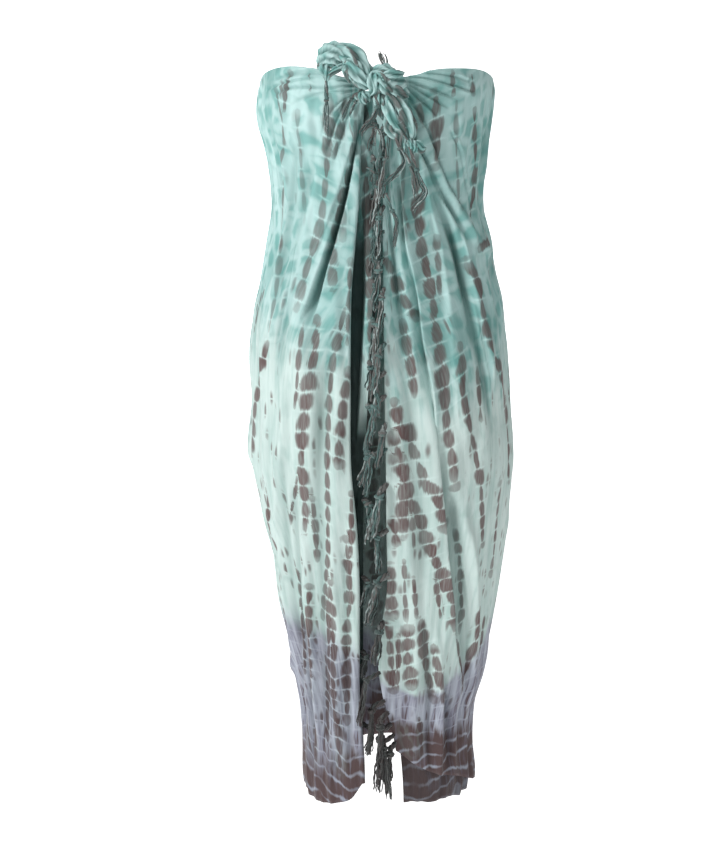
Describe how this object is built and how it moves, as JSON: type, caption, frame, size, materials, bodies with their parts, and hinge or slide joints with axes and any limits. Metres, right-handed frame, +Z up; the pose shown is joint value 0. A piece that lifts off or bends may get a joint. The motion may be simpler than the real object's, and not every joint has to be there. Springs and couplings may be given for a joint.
{
  "type": "sarong, worn strapless and knotted at the front",
  "caption": "Thin rayon sarong tied strapless at the chest, tie-dyed teal, mint and grey-brown, with knotted fringe down its open front edges.",
  "frame": {"origin": "middle of the tube at the height of the knot, where the tied cloth grips the chest", "axes": "+Z up along the garment, -Y out of its front, +X to the right of someone who looks at the front"},
  "size_m": [0.3817, 0.2775, 1.0784],
  "materials": {
    "dyed_cloth": "soft matt rayon, tie-dyed in bands of teal, mint and grey-lavender with brown marks",
    "fringe_yarn": "twisted and knotted rayon yarn"
  },
  "bodies": {
    "root": {"left_front": "dyed_cloth", "left_end_strip": "dyed_cloth", "right_front": "dyed_cloth", "under_hem": "dyed_cloth", "back": "dyed_cloth", "knot": "dyed_cloth", "left_corner_fan": "dyed_cloth", "right_corner_loop": "dyed_cloth", "right_end_fringe": "fringe_yarn", "left_end_fringe": "fringe_yarn", "loop_tassels": "fringe_yarn", "fan_tassels": "fringe_yarn", "knot_tassels": "fringe_yarn", "left_knot_tassels": "fringe_yarn", "upper_tuft": "fringe_yarn"}
  },
  "joints": []
}
